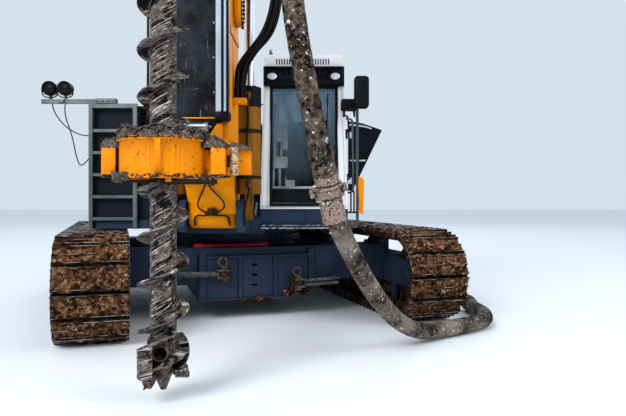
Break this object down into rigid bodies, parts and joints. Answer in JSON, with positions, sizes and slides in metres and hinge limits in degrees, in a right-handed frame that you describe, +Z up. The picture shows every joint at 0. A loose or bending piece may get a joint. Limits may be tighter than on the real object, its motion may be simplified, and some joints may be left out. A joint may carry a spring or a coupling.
{
  "type": "crawler piling rig",
  "caption": "Crawler piling rig with an upright mast, a full-length flight auger on a sliding rotary drive, a cab, a concrete hose and a turned crawler undercarriage.",
  "frame": {"origin": "on the slewing axis, at the ground under the tracks", "axes": "+Z up, -Y towards the auger and the cab's windscreen, +X towards the cab's side"},
  "size_m": [5.9665, 8.9898, 21.15],
  "materials": {
    "yellow_paint": "satin",
    "navy_paint": "satin",
    "slate_paint": "satin",
    "white_paint": "satin",
    "grey_paint": "matt",
    "track_steel": "matt",
    "bare_steel": "satin",
    "chrome_rod": "polished",
    "hose_rubber": "matt",
    "black_plastic": "matt",
    "seat_cloth": "matt",
    "window_glass": "gloss"
  },
  "bodies": {
    "undercarriage": {"carbody": "slate_paint", "tow_gear": "slate_paint", "track_frames": "slate_paint", "track_wheels": "track_steel", "track_left": "track_steel", "track_right": "track_steel"},
    "upper": {"deck": "slate_paint", "mast_cradle": "yellow_paint", "cab_shell": "white_paint", "cab_glass": "window_glass", "cab_base": "slate_paint", "cab_roof": "white_paint", "cab_brow": "navy_paint", "cab_seat": "seat_cloth", "cab_console": "black_plastic", "mirror_post": "grey_paint", "left_house": "navy_paint", "left_ladder": "grey_paint", "lamp_arm": "grey_paint", "engine_house": "navy_paint", "engine_block": "bare_steel", "counterweight": "navy_paint", "concrete_hose_lower": "hose_rubber", "hose_end_coupling": "bare_steel"},
    "cab_door": {"cab_door": "white_paint", "cab_door_glass": "window_glass"},
    "service_door": {"service_door": "navy_paint"},
    "mast": {"mast_box": "yellow_paint", "mast_rails": "bare_steel", "wear_plate": "bare_steel", "mast_head": "yellow_paint", "auger_guide": "yellow_paint", "concrete_hose_upper": "hose_rubber", "hose_coupling": "bare_steel", "supply_hoses": "hose_rubber"},
    "luff_barrels": {"luff_barrels": "yellow_paint"},
    "luff_rods": {"luff_rods": "chrome_rod"},
    "head_sheave_front": {"head_sheave_front": "bare_steel"},
    "head_sheave_rear": {"head_sheave_rear": "bare_steel"},
    "winch_drum": {"winch_drum": "bare_steel"},
    "guide_gate": {"guide_gate": "yellow_paint"},
    "drill_sledge": {"drill_sledge": "yellow_paint", "rotary_drive": "yellow_paint", "gooseneck": "bare_steel"},
    "auger": {"auger_stem": "bare_steel", "auger_flight": "bare_steel", "auger_tip": "bare_steel"}
  },
  "joints": [
    {"name": "slew", "type": "hinge", "parent": "undercarriage", "child": "upper", "pos_m": [0, 0, 0.92], "axis": [0, 0, 1], "continuous": true, "deforming": ["concrete_hose_lower"]},
    {"name": "mast_tilt", "type": "hinge", "parent": "upper", "child": "mast", "pos_m": [0, -2.8, 1.8], "axis": [1, 0, 0], "range_deg": [-15, 5], "deforming": ["concrete_hose_lower"]},
    {"name": "luff_barrel_swing", "type": "hinge", "parent": "upper", "child": "luff_barrels", "pos_m": [0, -2.05, 1.3], "axis": [1, 0, 0], "range_deg": [-13, 5]},
    {"name": "luff_rod_slide", "type": "slide", "parent": "luff_barrels", "child": "luff_rods", "axis": [0, 0, 1], "range_m": [-0.22, 0.08]},
    {"name": "sledge_travel", "type": "slide", "parent": "mast", "child": "drill_sledge", "axis": [0, 0, 1], "range_m": [-15, 0], "deforming": ["concrete_hose_upper", "supply_hoses"]},
    {"name": "auger_spin", "type": "hinge", "parent": "drill_sledge", "child": "auger", "pos_m": [0, -4.15, 9], "axis": [0, 0, 1], "continuous": true},
    {"name": "guide_gate_swing", "type": "hinge", "parent": "mast", "child": "guide_gate", "pos_m": [0.497, -4.15, 1.7], "axis": [0, 0, 1], "range_deg": [0, 110]},
    {"name": "head_sheave_front_spin", "type": "hinge", "parent": "mast", "child": "head_sheave_front", "pos_m": [0, -3.1, 20.8], "axis": [1, 0, 0], "continuous": true},
    {"name": "head_sheave_rear_spin", "type": "hinge", "parent": "mast", "child": "head_sheave_rear", "pos_m": [0, -2.5, 20.8], "axis": [1, 0, 0], "continuous": true},
    {"name": "winch_drum_spin", "type": "hinge", "parent": "mast", "child": "winch_drum", "pos_m": [0, -2.17, 4.825], "axis": [1, 0, 0], "continuous": true},
    {"name": "cab_door_swing", "type": "hinge", "parent": "upper", "child": "cab_door", "pos_m": [1.48, 0.15, 2], "axis": [0, 0, 1], "range_deg": [0, 95]},
    {"name": "service_door_swing", "type": "hinge", "parent": "upper", "child": "service_door", "pos_m": [1.54, 0.36, 2], "axis": [0, 0, 1], "range_deg": [0, 88]}
  ],
  "couplings": [
    {"joint": "luff_barrel_swing", "follows": "mast_tilt", "ratio": 0.815},
    {"joint": "luff_rod_slide", "follows": "mast_tilt", "m_per_rad": 0.79}
  ]
}
